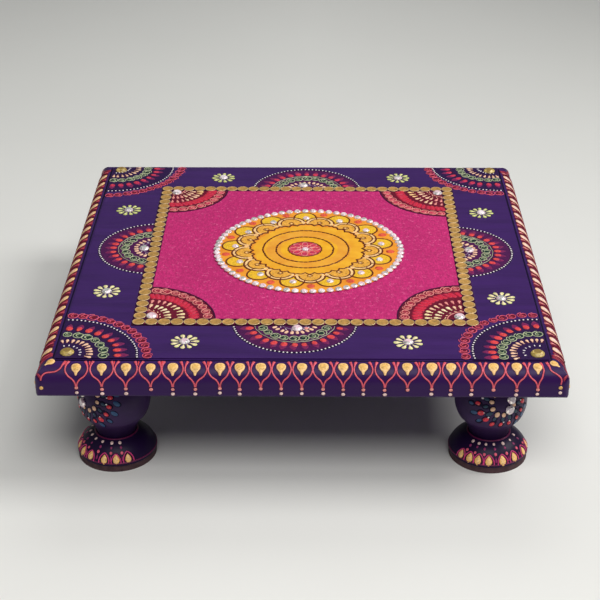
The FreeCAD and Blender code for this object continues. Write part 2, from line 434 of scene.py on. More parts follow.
def ribbon(path, widths, height, closed=False):
    """Half-round line of paint along a path, with one width or a width at each of its points."""
    if not isinstance(widths, (list, tuple)):
        widths = [widths] * len(path)
    widest = max(widths)
    section = ((-1, -sink), (-0.78, 0.66), (0, 1.0), (0.78, 0.66), (1, -sink))
    count = len(path)
    points = []
    for i, (x, y) in enumerate(path):
        before = path[(i - 1) % count] if closed or i else path[0]
        after = path[(i + 1) % count] if closed or i < count - 1 else path[-1]
        dx, dy = after[0] - before[0], after[1] - before[1]
        size = hypot(dx, dy) or 1.0
        lift = height * sqrt(widths[i] / widest)
        for across, rise in section:
            reach = across * widths[i] / 2
            h = rise * lift if rise > 0 else rise
            points.append((x - dy / size * reach, y + dx / size * reach, h))
    faces = []
    for i in range(count if closed else count - 1):
        a, b = 5 * i, 5 * ((i + 1) % count)
        faces += [(a + k, a + k + 1, b + k + 1, b + k) for k in range(4)]
        faces.append((a + 4, a, b, b + 4))
    if not closed:
        faces += [ring(0, 5), ring(count - 1, 5)]
    return points, faces


def patch(outline, height):
    """Thin flat area of paint inside an outline."""
    count = len(outline)
    points = [(x, y, h) for h in (-sink, height) for x, y in outline]
    return points, [ring(0, count), ring(1, count)] + walls(2, count)


def stroke(length, width, height, stops):
    """Straight line whose width changes: each stop is a share of its length and of its width."""
    path = [((s - 0.5) * length, 0) for s, _ in stops]
    return ribbon(path, [w * width for _, w in stops], height)


dash_stops = ((0.0, 0.45), (0.1, 0.8), (0.3, 1.0), (0.7, 1.0), (0.9, 0.8), (1.0, 0.45))
tear_stops = ((0.0, 0.34), (0.05, 0.66), (0.14, 0.9), (0.27, 1.0), (0.42, 0.92), (0.57, 0.7), (0.72, 0.45),
              (0.86, 0.26))
bulb_stops = ((0.0, 0.36), (0.05, 0.68), (0.14, 0.9), (0.27, 1.0), (0.42, 0.98), (0.55, 0.84), (0.66, 0.6),
              (0.75, 0.38), (0.85, 0.27), (0.94, 0.22), (1.0, 0.12))
almond_stops = ((0.0, 0.2), (0.12, 0.62), (0.28, 0.92), (0.45, 1.0), (0.62, 0.9), (0.8, 0.6), (0.92, 0.34),
                (1.0, 0.14))


def dash(length, width, height):
    """Short stroke with blunt round ends."""
    return stroke(length, width, height, dash_stops)


def tear(length, width, height, end=0.1):
    """Drop with its round end at -X and its tip at +X, with a share of the width left there."""
    return stroke(length, width, height, tear_stops + ((1.0, end),))


def bulb(length, width, height):
    """Round drop at -X that runs out into a short thin tail at +X."""
    return stroke(length, width, height, bulb_stops)


def almond(length, width, height):
    """Oval with two blunt points."""
    return stroke(length, width, height, almond_stops)


def curl(diameter, width, height):
    """Small circle that runs on as a smaller hook inside itself."""
    path = []
    for i in range(23):
        turn = 2 * pi * i / 14
        r = (diameter - width) / 2 * (1.0 if i < 13 else max(0.44, 1.0 - 0.17 * (i - 12)))
        path.append((r * cos(turn), r * sin(turn)))
    return ribbon(path, width, height)


def smooth(points, count=3):
    """Curve through the points, in a number of steps between each two."""
    found = []
    for i in range(len(points) - 1):
        p0, p1 = points[max(i - 1, 0)], points[i]
        p2, p3 = points[i + 1], points[min(i + 2, len(points) - 1)]
        for k in range(count):
            t = k / count
            found.append(tuple(0.5 * (2 * b + (c - a) * t + (2 * a - 5 * b + 4 * c - d) * t * t
                                      + (3 * b - a - 3 * c + d) * t ** 3)
                               for a, b, c, d in zip(p0, p1, p2, p3)))
    return found + [points[-1]]


# Pieces

class Gathered:
    """Points, faces and each face's material, gathered for one piece."""

    def __init__(self):
        self.points, self.faces, self.kinds = [], [], []

    def add(self, points, faces, kinds=()):
        base = len(self.points)
        self.points += points
        self.faces += [[base + i for i in face] for face in faces]
        self.kinds += kinds


def piece(name, shape, materials, slot, soft=True):
    """Closed mesh object that rides on the table."""
    mesh = bpy.data.meshes.new(name)
    mesh.from_pydata(shape.points, [], shape.faces)
    if shape.kinds:
        mesh.polygons.foreach_set("material_index", shape.kinds)
    work = bmesh.new()
    work.from_mesh(mesh)
    bmesh.ops.recalc_face_normals(work, faces=work.faces)
    for face in work.faces:
        face.smooth = soft and len(face.verts) <= 6
    work.to_mesh(mesh)
    work.free()
    for material in materials:
        mesh.materials.append(material)
    made = bpy.data.objects.new(name, mesh)
    bpy.context.collection.objects.link(made)
    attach(made, "root")
    return made


class Relief:
    """Raised paint of one area, gathered by colour and made into one closed mesh for each."""

    def __init__(self, name, slot):
        self.name, self.slot, self.shapes = name, slot, {}

    def add(self, colour, shape, lay, x=0.0, y=0.0, turn=0.0, size=1.0, loose=0.0):
        """Lays one shape, turned and resized; loose is how far a hand would miss its place."""
        points, faces = shape
        a = radians(turn + rng.gauss(0, 8) * loose)
        grow = size * (1 + rng.gauss(0, 0.22) * loose)
        x, y = x + rng.gauss(0, 0.5) * loose, y + rng.gauss(0, 0.5) * loose
        ca, sa = cos(a) * grow, sin(a) * grow
        laid = [lay(x + u * ca - v * sa, y + u * sa + v * ca, h) for u, v, h in points]
        self.shapes.setdefault(colour, Gathered()).add(laid, faces)

    def build(self):
        for colour, shape in self.shapes.items():
            piece(self.name + "_" + colour, shape, [paints[colour]], self.slot)


# Patterns on the top

def bearings(start, end, count):
    """Evenly spaced bearings between two, with half a step left at each end."""
    return [start + (end - start) * (i + 0.5) / count for i in range(count)]


def polar(x, y, radius, bearing):
    """Point at a distance and bearing, from +X towards +Y, from a centre."""
    a = radians(bearing)
    return x + radius * cos(a), y + radius * sin(a)


class Fan:
    """Rows of shapes on circles about one centre, between two bearings.

    The lap is the length by which its rows run on past both ends.
    """

    def __init__(self, relief, lay, x, y, start=0, end=360, radius=0.0, lap=0.0):
        self.relief, self.lay, self.x, self.y = relief, lay, x, y
        self.start, self.end, self.radius, self.lap = start, end, radius, lap

    def sweep(self, radius, lap):
        """Bearings of both ends at a radius."""
        more = degrees(lap / radius)
        return self.start - more, self.end + more

    def fill(self, pitch):
        """Number of shapes of one pitch in the row at the fan's own radius."""
        return max(3, round(radians(self.end - self.start) * self.radius / pitch))

    def row(self, colour, radius, count, shape, turn=0.0, loose=0.3, shift=0.0):
        """Row of one shape, in one colour or in several that follow each other."""
        tones = [colour] if isinstance(colour, str) else colour
        for i, b in enumerate(bearings(*self.sweep(radius, self.lap), count)):
            x, y = polar(self.x, self.y, radius, b + shift)
            tone = tones[i * len(tones) // count]
            self.relief.add(tone, shape, self.lay, x, y, b + shift + turn, loose=loose)

    def line(self, colour, radius, width, height, lobes=0):
        """Line along the fan, a little unsteady or in small lobes."""
        start, end = self.sweep(radius, self.lap)
        count = max(12, int(radius * radians(end - start) / 1.5), lobes * 6)
        path = []
        for i in range(count + 1):
            share = i / count
            out = 0.4 * abs(sin(pi * lobes * share)) if lobes else rng.gauss(0, 0.05)
            path.append(polar(self.x, self.y, radius + out, start + (end - start) * share))
        self.relief.add(colour, ribbon(path, width, height), self.lay)

    def arc(self, radius, lap=0.0, count=40):
        """Points of the fan's arc at a radius."""
        start, end = self.sweep(radius, lap)
        return [polar(self.x, self.y, radius, start + (end - start) * i / count) for i in range(count + 1)]

    def ground(self, colour, inner, outer, height):
        """Flat area between two radii."""
        back = self.arc(inner, count=39)[::-1] if inner else [(self.x, self.y)]
        self.relief.add(colour, patch(self.arc(outer, count=39) + back, height), self.lay)

    def flames(self, radius, count, near):
        """Red petals with darker, longer ones behind them, on a dark margin that is a painted contact shadow;
        the near ones are brighter.
        """
        petal, heart = ("coral", "ember") if near else ("rosebud", "coral")
        self.row("maroon", radius + 0.8, count, almond(7.6, 5.4, 0.1), loose=0.1)
        self.row("mulberry", radius + 2.9, count, almond(6.2, 4.6, 0.16), loose=0.4)
        self.row(petal, radius + 0.4, count, dome(4.9, 4.0, 0.42), loose=0.35)
        self.row(heart, radius - 0.4, count, dome(2.5, 1.8, 0.46), loose=0.5)

    def chain(self, line, inside, radius, count, size, width=0.47):
        """Row of small curls that touch, each filled with a darker colour."""
        self.row(inside, radius, count, dome(size * 0.84, size * 0.84, 0.12), loose=0)
        self.row(line, radius, count, curl(size * 1.04, width, 0.38), loose=0.35)
        self.row(line, radius, count, dash(size * 0.4, 0.34, 0.3), turn=50, loose=1.2)


def corner_fan(relief, z, way, row, limit_x, limit_y):
    """Fan of one row of a corner: its centre and radius, ended by a line along each side."""
    x, y, radius = row
    across, along = way
    low = degrees(asin(max(-1.0, min(1.0, -along * (limit_y - y) / radius))))
    high = degrees(acos(max(-1.0, min(1.0, -across * (limit_x - x) / radius))))
    start, end = {(-1, -1): (low, high), (1, -1): (180 - high, 180 - low),
                  (1, 1): (180 + low, 180 + high), (-1, 1): (-high, -low)}[way]
    return Fan(relief, flat_lay(z), x, y, start, end, radius)


# Centre and radius of each row in the four corners of the top: dots, chain, flames, green curls, strokes
outer_rows = {
    (-1, -1): ((-141.0, -142.2, 46.5), (-141.6, -143.0, 52.8), (-138.5, -139.7, 32.6), (-137.9, -137.7, 24.0),
               (-136.3, -135.8, 14.1)),
    (1, -1): ((138.4, -133.5, 40.1), (135.7, -130.8, 42.5), (141.0, -133.4, 31.0), (137.7, -134.0, 22.8),
              (136.0, -133.8, 14.6)),
    (-1, 1): ((-138.0, 138.0, 40.4), (-143.9, 142.5, 53.1), (-139.3, 137.5, 30.0), (-135.8, 136.5, 20.0),
              (-137.8, 139.3, 14.9)),
    (1, 1): ((138.8, 145.2, 45.2), (138.2, 142.3, 47.8), (134.3, 140.2, 29.4), (133.9, 138.8, 20.3),
             (135.9, 139.8, 14.9)),
}

# The same for the corners of the panel: chain, red band, outer strokes, inner strokes
inner_rows = {
    (-1, -1): ((-96.8, -97.8, 40.2), (-95.1, -96.2, 30.2), (-93.0, -93.3, 20.2), (-95.4, -92.8, 14.4)),
    (1, -1): ((99.3, -92.5, 38.1), (98.6, -92.3, 29.8), (96.2, -93.6, 21.2), (97.0, -95.5, 16.6)),
    (-1, 1): ((-92.2, 97.1, 32.9), (-91.9, 98.9, 26.2), (-93.7, 97.6, 19.7), (-93.2, 99.0, 14.1)),
    (1, 1): ((98.9, 99.5, 41.2), (97.5, 96.5, 30.0), (99.7, 97.9, 24.2), (99.6, 97.4, 17.3)),
}

# Side fans: centre, radius of the dots, and the bearing that the fan starts from
side_rows = ((-4.54, -97.63, 36.7, 180), (98.73, 0.25, 37.3, 270), (1.37, 99.19, 38.2, 0),
             (-96.85, 3.94, 37.5, 90))

# Half of the square that the painted corners end at, and pitch of the curls and petals in them
flat_reach = 141.4
large_pitch = 6.3
small_pitch = 6.0


def outer_corner(relief, way):
    corner = way[0] * flat_reach, way[1] * flat_reach
    fans = [corner_fan(relief, top_z, way, row, *corner) for row in outer_rows[way]]
    dots, links, fire, curls, strokes = fans
    relief.add("night", patch([corner] + dots.arc(dots.radius + 1.0), 0.04), on_top)
    strokes.row("white", 8.6, 7, dash(1.5, 0.8, 0.35), loose=0.4)
    strokes.row("maroon", strokes.radius, strokes.fill(3.1), tear(4.8, 2.9, 0.1, 0.5), loose=0)
    strokes.row("peach", strokes.radius, strokes.fill(3.1), tear(3.9, 2.1, 0.4, 0.5), turn=180)
    curls.chain("green", "moss", curls.radius, curls.fill(small_pitch), small_pitch)
    fire.flames(fire.radius, fire.fill(small_pitch), way[1] < 0)
    dots.line("midnight", dots.radius, 2.3, 0.06)
    dots.row("white", dots.radius, dots.fill(2.6), dome(1.25, 1.15, 0.34), loose=0.15)
    links.chain("candy", "claret", links.radius, links.fill(large_pitch), large_pitch)


def side_fan(relief, x, y, dot_radius, start):
    fan = Fan(relief, on_top, x, y, start, start + 180, lap=-5.0)
    size = dot_radius / 37.5
    fan.ground("plum", 0, dot_radius - 1.0, 0.04)
    fan.line("midnight", dot_radius, 2.2, 0.06)
    fan.line("lilac", 9.0 * size, 0.45, 0.3)
    fan.row("white", 10.6 * size, 6, dash(1.3, 0.7, 0.3), turn=60)
    fan.row("peach", 13.5 * size, 10, dash(3.1, 2.1, 0.4))
    fan.chain("green", "moss", 20.8 * size, 9, 6.2 * size)
    fan.line("green", 24.7 * size, 0.34, 0.3, lobes=9)
    fan.flames(28.0 * size, 13, start != 0)
    fan.row("white", dot_radius, 42, dome(1.25, 1.1, 0.34), loose=0.15)


def inner_corner(relief, way):
    limit = disc_line - disc_radius
    ends = panel_x + way[0] * limit, panel_y + way[1] * limit
    links, band, outer, inner = [corner_fan(relief, panel_z, way, row, *ends) for row in inner_rows[way]]
    corner = [edge + side * 4 for edge, side in zip(ends, way)]
    relief.add("claret", patch([corner] + links.arc(links.radius + 3.6, 4), 0.05), flat_lay(panel_z))
    links.line("maroon", links.radius + 4.2, 1.3, 0.2)
    inner.line("rose", inner.radius - 6.2, 0.7, 0.34)
    inner.row("peach", inner.radius - 4.6, 5, dash(1.6, 0.7, 0.3), turn=60)
    if way[1] > 0:
        far, near, fill = ("apricot", "peach", "peach", "rose"), ("peach", "peach", "rose"), "rosebud"
    else:
        far, near = ("butter", "butter", "peach", "rose", "rose"), ("butter", "cream", "cream", "peach")
        fill = "garnet"
    if way[0] * way[1] < 0:
        far, near = far[::-1], near[::-1]
    inner.row(near, inner.radius, 7, tear(4.3, 2.3, 0.42, 0.6), turn=180, loose=0.35)
    outer.row(far, outer.radius, 9, tear(4.2, 2.3, 0.42, 0.6), turn=180, loose=0.35)
    band.ground("cherry", band.radius - 3.4, band.radius + 3.4, 0.1)
    band.row("scarlet", band.radius, 14, dash(6.6, 3.5, 0.36), turn=24)
    band.row("rosebud", band.radius + 0.4, 14, dash(4.6, 1.0, 0.44), turn=20, loose=0.6)
    links.chain("rose", fill, links.radius, links.fill(large_pitch), large_pitch, width=0.58)


def flower(relief, x, y):
    """Eleven petals round a stone; those near the front are paler."""
    spin = rng.uniform(0, 30)
    rim, heart = ("lime", "cream") if y < 0 else ("olive", "lime")
    for i in range(11):
        bearing = spin + 360 * i / 11
        place = *polar(x, y, 6.0, bearing), bearing + 180
        # Each petal lies on a larger dark tear, a painted contact shadow.
        relief.add("night", tear(5.6, 3.7, 0.06, 0.3), on_top, *place, loose=0.1)
        relief.add(rim, tear(4.8, 3.0, 0.34, 0.3), on_top, *place, loose=0.2)
        relief.add(heart, tear(3.9, 2.0, 0.44, 0.3), on_top, *place, loose=0.2)


def disc_shadow_band(relief, z, inner, outer):
    """Dark square band, a painted shadow that shows as a margin between and beside the discs."""
    near, far = disc_line + inner, disc_line + outer
    for c, s in ((1, 0), (0, 1), (-1, 0), (0, -1)):
        quad = ((-near, near), (near, near), (far, far), (-far, far))
        points = [(panel_x + u * c - v * s, panel_y + u * s + v * c) for u, v in quad]
        relief.add("maroon", patch(points, 0.08), flat_lay(z))


def paint_top():
    relief = Relief("top", "painted_wood")
    panel = Relief("panel", "panel_cloth")
    for way in ((-1, -1), (1, -1), (1, 1), (-1, 1)):
        outer_corner(relief, way)
        inner_corner(panel, way)
    for row in side_rows:
        side_fan(relief, *row)
    for x, y, _ in clusters("flower_stones"):
        flower(relief, x, y)
    disc_shadow_band(relief, top_z, 1.6, 4.1)
    disc_shadow_band(panel, panel_z, -4.1, 1.4)
    relief.add("rose", dome(2.6, 2.4, 0.42), on_top, 2.4, -105.3)
    relief.build()
    panel.build()


# Pattern of the round board: centre and radii of its petals' inner line, their joints and the lobes

petal_x, petal_y = 2.6, 1.4
base_radius = 35.6
joint_radius = 42.0
lobe_radius = 43.0
petal_count = 13
petal_step = 360 / petal_count
joints = [9.3 + petal_step * i for i in range(petal_count)]


def petal_rim(first, inset, swell, count=22):
    """Outer line of one wide petal between two joints, drawn in by an inset."""
    found = []
    edge = degrees(inset / lobe_radius)
    for i in range(count + 1):
        share = i / count
        rise = (7.6 + swell - 0.55 * inset) * sin(pi * share) ** 0.62
        bearing = first + edge + (petal_step - 2 * edge) * share
        found.append(polar(petal_x, petal_y, joint_radius - 0.4 * inset + rise, bearing))
    return found


def petal_base(first, rise=0.0, count=24):
    """Scalloped inner line of one petal, with a short spike at its joint."""
    found = []
    for i in range(count):
        share = i / count
        spike = 3.0 * exp(-(min(share, 1 - share) / 0.05) ** 2)
        radius = base_radius + rise + 2.3 * abs(sin(3 * pi * share)) + spike
        found.append(polar(petal_x, petal_y, radius, first + petal_step * share))
    return found


def lobe_rim(joint, count=18):
    """Rounded lobe that shows between two petals."""
    found = []
    for i in range(count + 1):
        t = pi * i / count
        reach = lobe_radius + 13.4 * sin(t) ** 0.6
        side = 7.8 * -cos(t)
        bearing = joint + degrees(atan2(side, reach))
        found.append(polar(petal_x, petal_y, hypot(reach, side), bearing))
    return found


def paint_mandala():
    relief = Relief("mandala", "mandala_board")
    lay = flat_lay(ground_z)
    core = Fan(relief, lay, 0.8, 0.5)
    core.ground("rosebud", 0, 10.4, 0.08)
    core.row("coral", 6.4, 8, dash(6.4, 2.4, 0.3))
    oval = [(2.7 * c, 2.7 * 0.72 * s) for c, s in turns(12)]
    core.row("rose", 7.2, 8, ribbon(oval, 0.6, 0.38, closed=True), shift=22)
    core.row("blush", 4.2, 8, dash(3.0, 0.6, 0.4), loose=0.4)
    core.line("bark", 10.7, 0.9, 0.34, lobes=20)
    for radius, x, y in ((18.8, 0.75, 0.1), (28.0, 1.4, 0.9)):
        rope = Fan(relief, lay, x, y)
        rope.line("bark", radius, 0.7, 0.2)
        rope.row("bark", radius, int(2 * pi * radius / 3.0), dash(2.8, 1.25, 0.36), turn=90, loose=0.25)
    for joint in joints:
        relief.add("lemon", patch(lobe_rim(joint), 0.1), lay)
        relief.add("bark", ribbon(lobe_rim(joint), 1.3, 0.28), lay)
    for joint in joints:
        swell = rng.uniform(-0.8, 0.8)
        rim, inner = petal_rim(joint, 0.5, swell), petal_rim(joint, 3.0, swell)
        relief.add("apricot", patch(rim + petal_base(joint)[::-1], 0.2), lay)
        relief.add("saffron", patch(inner + petal_base(joint, 0.9)[2:-1][::-1], 0.26), lay)
        relief.add("bark", ribbon(rim, 1.35, 0.42), lay)
        relief.add("bark", ribbon(inner, 1.15, 0.42), lay)
        bearing = joint + petal_step / 2
        heart = polar(petal_x, petal_y, 40.2, bearing)
        relief.add("bark", curl(4.4, 0.8, 0.42), lay, *heart, bearing + rng.uniform(0, 360), loose=0.2)
        relief.add("apricot", dome(2.2, 2.0, 0.42), lay, *heart, bearing, loose=0.1)
        outside = polar(petal_x, petal_y, 54.0, bearing)
        relief.add("tangerine", dome(5.9, 5.5, 0.3), lay, *outside, bearing, loose=0.15)
        for ray in (-1.3, 0.0, 1.3):
            line = [(-2.2, 0.3 * ray), (0.0, ray), (2.2, 0.7 * ray)]
            relief.add("coral", ribbon(line, 0.5, 0.38), lay, *outside, bearing, loose=0.15)
    base = [point for joint in joints for point in petal_base(joint)]
    relief.add("bark", ribbon(base, 1.35, 0.42, closed=True), lay)
    relief.build()


# Moulded edge: where its row of cells ends, the last drop of the rear and the left side, and the places
# of the drops along the front and the right side
edge_end = 141.5
last_drop = 128.0
front_drops = (-128.4, -113.8, -100.1, -86.0, -73.4, -60.6, -46.6, -35.4, -23.3, -11.7, 0.0, 12.2, 23.5,
               34.9, 47.2, 59.9, 73.8, 84.7, 96.5, 108.9, 122.0, 134.0)
right_drops = (-126.5, -114.1, -101.9, -89.0, -75.6, -62.5, -50.8, -37.0, -23.7, -10.8, 1.6, 15.0, 26.6, 38.2,
               51.1, 63.0, 75.6, 88.0, 100.8, 114.3, 127.8)


def edge_arm(cell, half):
    """One side of the ogee round a drop, from its flared top out to the waist and down to the stem."""
    reach, way = abs(half), copysign(1, half)
    top = reach - rng.uniform(1.4, 2.3) - max(0.0, reach - 6.4) * 0.8
    waist = reach - 0.35 - max(0.0, reach - 6.6) * 0.6
    points = ((top, 1.7), (top + (waist - top) * 0.6, 4.0), (waist, 6.9), (waist - 0.5, 9.2),
              (reach * 0.62, 11.4), (reach * 0.31, 13.1), (reach * 0.13, 14.8), (reach * 0.06, 16.3),
              (0.3, 17.6))
    loose = rng.gauss(0, 0.2)
    return smooth([(cell + way * (u + (loose if v < 12 else 0)), v) for u, v in points])


def edge_stroke(relief, colour, path, lay, share=1.0):
    """Raised line with a thick start and a thin dark margin, a painted contact shadow."""
    widths = [w * share for w in [1.9, 1.75, 1.5, 1.2] + [0.9] * (len(path) - 4)]
    relief.add("maroon", ribbon(path, [w + 0.7 for w in widths], contact_shadow_height), lay)
    relief.add(colour, ribbon(path, widths, 0.42), lay)


def side_drop(relief, lay, x, y, rim, heart):
    """Longer drop of the side edges, on a dark margin of painted contact shadow."""
    relief.add("maroon", tear(11.0, 6.6, 0.08, 0.25), lay, x, y, 90)
    relief.add(rim, tear(9.8, 5.6, 0.36, 0.2), lay, x, y - 0.1, 90, loose=0.08)
    relief.add(heart, tear(7.2, 3.6, 0.45, 0.2), lay, x, y - 0.6, 90, loose=0.08)


def edge_drop(relief, lay, x, y, turn, size=1.0):
    """Golden drop on a creamy one, on a dark margin of painted contact shadow."""
    relief.add("maroon", bulb(8.6, 7.2, contact_shadow_height), lay, x, y, turn, size)
    relief.add("apricot", bulb(7.7, 6.3, 0.34), lay, x, y, turn, size, 0.08)
    relief.add("gold", bulb(5.9, 5.1, 0.44), lay, x, y - 0.4 * size if turn == 90 else y, turn, size, 0.08)


def edge_dot(relief, colour, lay, x, y, width):
    """Dot on a dark margin of painted contact shadow."""
    relief.add("maroon", dome(width + 0.7, 2.8, contact_shadow_height), lay, x, y)
    relief.add(colour, dome(width, 2.0, 0.42), lay, x, y, loose=0.2)


def edge_band(relief, side, colour, start, end, reach=141.2):
    """Thin ground of paint along the moulding of one side, between two lengths down it."""
    lay = edge_lay(side)
    rows = max(1, round((end - start) / 1.2))
    for i in range(rows):
        low, high = start + (end - start) * i / rows, start + (end - start) * (i + 1) / rows
        relief.add(colour, patch(((-reach, low), (reach, low), (reach, high), (-reach, high)), 0.03), lay)


def paint_edge(relief, side):
    """Row of drops in ogees along one side, from its left end as seen from outside.

    The front's drops lie a little lower at its left end than at its right end.
    """
    lay = edge_lay(side)
    if side in ("front", "right"):
        cells = list(front_drops if side == "front" else right_drops)
    else:
        cells = [-last_drop + 2 * last_drop * i / 20 + rng.gauss(0, 0.7) for i in range(21)]
    aside = side in ("left", "right")
    # The sides' ogee lines are garnet, darker than the front's pink: in part painted shade on the sides.
    line = "garnet" if aside else "pink"
    # The right side's drops are paler than the left's: in part a painted highlight where light falls on the
    # right side.
    tones = ("apricot", "peach") if side == "left" else ("peach", "blush")
    # Dark line at the top of the moulding, along the quirk: painted shade in the groove.
    edge_band(relief, side, "midnight", 0.1, 1.2)
    # The claret ground between the drops of the sides is in part painted shade.
    if aside:
        edge_band(relief, side, "claret", 3.0, 15.6, 139.0)
    ends = [-edge_end] + cells + [edge_end]
    for before, cell, after in zip(ends, cells, ends[2:]):
        if aside:
            side_drop(relief, lay, cell, 8.1, *tones)
        else:
            fall = 0.6 - 1.6 * (cell + 140) / 280 if side == "front" else 0.0
            edge_drop(relief, lay, cell, 6.7 + fall, 90, rng.uniform(0.9, 1.05))
        for neighbour in (before, after):
            arm = edge_arm(cell, (neighbour - cell) / 2)
            if aside:
                arm = [(u, v + 1.0) for u, v in arm[:-2]]
            edge_stroke(relief, line, arm, lay, 0.62 if aside else 1.0)
            if aside:
                relief.add("claret", ribbon([(u, v + 0.2) for u, v in arm], 0.42, 0.47), lay)
        low = rng.gauss(0, 0.35)
        edge_dot(relief, "rose", lay, cell, 19.0 + low, 2.2)
        if rng.random() < 0.85:
            edge_dot(relief, "blush", lay, cell, 22.0 + low, 2.3)
    for before, after in zip(ends, ends[1:]):
        place = (before + after) / 2
        # The pale stroke between the sides' drops is in part a painted highlight on the raised lines, lighter
        # rose on the lit right side.
        if aside:
            colour = "rose" if side == "right" else "pink"
            relief.add(colour, tear(7.6, 1.1, 0.44, 0.3), lay, place, 6.6, 90, loose=0.3)
        elif after - before > 12.4 and rng.random() < 0.6:
            relief.add("coral", tear(3.6, 1.2, 0.44), lay, place, 3.2, 90, loose=0.2)
    for way in (-1, 1):
        if side == "front" and way > 0:
            path = ((139.2, 1.2), (140.5, 4.6), (141.5, 7.2), (145.3, 9.8), (147.2, 12.2), (146.9, 15.2))
        else:
            path = ((134.8, 1.7), (136.4, 4.6), (137.6, 7.0), (140.6, 8.8), (145.4, 9.4), (147.8, 11.4),
                    (148.4, 13.8))
        path = [(way * u, v) for u, v in path]
        edge_stroke(relief, line, smooth(path), lay)
        end = path[-1][0]
        relief.add("gold", dome(2.4, 2.3, 0.42), lay, end, 17.2 if way > 0 else 18.7, loose=0.1)
        if way > 0:
            relief.add("blush", dome(2.2, 2.1, 0.42), lay, end, 20.6, loose=0.1)


def paint_edges():
    relief = Relief("edge", "painted_wood")
    for side in ("front", "right", "rear", "left"):
        paint_edge(relief, side)
    path = ((148.2, 151.6), (150.8, 149.8), (151.3, 145.6), (149.6, 141.6), (146.4, 138.6), (143.4, 137.0))
    for x in (-1, 1):
        for y in (-1, 1):
            if y < 0:
                turn = degrees(atan2(y, x))
                edge_drop(relief, corner_lay, 144.2 * x, 144.2 * y, turn, 0.84)
            edge_stroke(relief, "garnet", smooth([(x * u, y * v) for u, v in path])[::-1], corner_lay)
    relief.build()


# Legs

def paint_ball(relief, x, y, bearing):
    """Rings of beads about the stones, each on a dark margin of painted contact shadow, kept off the ball's
    lower and upper ends.
    """
    lay = ball_lay(x, y, bearing + copysign(4, -bearing), 20.0)
    rings = (("peach", 19.0, 10, 3.0, 2.5, 0.42, 0.4), ("teal", 28.0, 13, 3.6, 2.1, 0.24, 0.6),
             ("red", 39.0, 16, 3.6, 2.7, 0.42, 0.5), ("white", 34.5, 16, 1.3, 1.0, 0.36, 0.8),
             ("blue", 50.5, 17, 4.2, 2.6, 0.2, 0.8))
    for colour, reach, count, length, width, height, loose in rings:
        shift = 180 / count if colour == "white" else rng.uniform(0, 20)
        for b in bearings(0, 360, count):
            u, v = polar(0, 0, radians(reach) * ball_radius, b + shift)
            level = lay(u, v, 0).z / MM - ball_z
            if -8.8 < level < 15.6:
                relief.add("midnight", dome(length + 1.5, width + 1.5, 0.08), lay, u, v, b)
                if colour != "white" or rng.random() < 0.6:
                    relief.add(colour, dome(length, width, height), lay, u, v, b, loose=loose)
                if colour == "red":
                    relief.add("salmon", dome(1.4, 1.0, 0.48), lay, u, v, b, loose=loose)


def foot_reach(up):
    """Distance of a place on the dome from its axis."""
    return foot_lay(0, 0)(90, up, 0).x / MM


def foot_ring(relief, colour, lay, up, width, height, count=72):
    """Closed half-round line round the dome."""
    reach = foot_reach(up)
    points, faces = ribbon([(radians(360 * i / count) * reach, up) for i in range(count)], width, height)
    last = 5 * (count - 1)
    faces = [f for f in faces if len(f) == 4]
    faces += [(last + k, last + k + 1, k + 1, k) for k in range(4)] + [(last + 4, last, 0, 4)]
    relief.add(colour, (points, faces), lambda u, v, h: lay(degrees(u / reach), v, h))


def paint_foot(relief, x, y, facing_bearing, offsets):
    """Petals in arches round the dome, with dots between them."""
    lay = foot_lay(x, y)

    def put(colour, shape, bearing, up, loose=0.0):
        """Lays a small shape about one point of the dome, with +X up the dome."""
        reach = foot_reach(up)

        def about(u, v, h):
            return lay(bearing - degrees(v / reach), up + u, h)
        relief.add(colour, shape, about, loose=loose)

    for up, width, tall in ((16.3, 1.1, 0.26), (0.55, 0.9, 0.24)):
        foot_ring(relief, "wine", lay, up, width, tall)
    arch = smooth([(0.6, -3.1), (2.8, -3.1), (5.2, -2.0), (6.7, 0.0), (5.2, 2.0), (2.8, 3.1), (0.6, 3.1)], 4)
    for spread in offsets:
        b = facing_bearing + spread
        # Each petal and arch lies on a wider maroon margin, a painted contact shadow.
        put("maroon", almond(6.6, 4.8, 0.06), b, 3.1)
        put("honey", almond(5.9, 4.2, 0.32), b, 3.0, 0.3)
        put("apricot", almond(4.4, 2.8, 0.42), b, 2.9, 0.3)
        put("maroon", ribbon(arch, 1.5, contact_shadow_height), b, 0)
        put("orchid", ribbon(arch, 0.75, 0.38), b, 0, 0.15)
    for first, second in zip(offsets, offsets[1:]):
        b = facing_bearing + (first + second) / 2
        put("magenta", tear(3.4, 1.2, 0.3), b, 3.6, 0.3)
        put("candy", dome(2.0, 1.7, 0.4), b, 6.9, 0.35)
        put("magenta", dome(2.0, 1.4, 0.32), b, 10.2, 0.4)
        put("blush", dome(2.2, 1.8, 0.4), b, 13.4, 0.4)


def paint_legs():
    relief = Relief("leg", "painted_wood")
    for x, y, bearing, offsets in legs:
        paint_ball(relief, x, y, bearing)
        paint_foot(relief, x, y, bearing, offsets)
    relief.build()


def turn_legs(material):
    """Smooth turned legs with the full swell of their feet, in the places of the plain ones."""
    sides = 96
    count = len(leg_profile)
    faces = walls(count, sides) + [ring(0, sides), ring(count - 1, sides)]
    turned = Gathered()
    for x, y, _, _ in legs:
        points = [Vector((x + r * c, y + r * s, z)) * MM for r, z in leg_profile for c, s in turns(sides)]
        turned.add(points, faces)
    made = piece("legs_turned", turned, [material], "painted_wood")
    made.data.set_sharp_from_angle(angle=radians(40))
    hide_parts("turned_legs")


# Stones and discs, each in the place of its plain solid

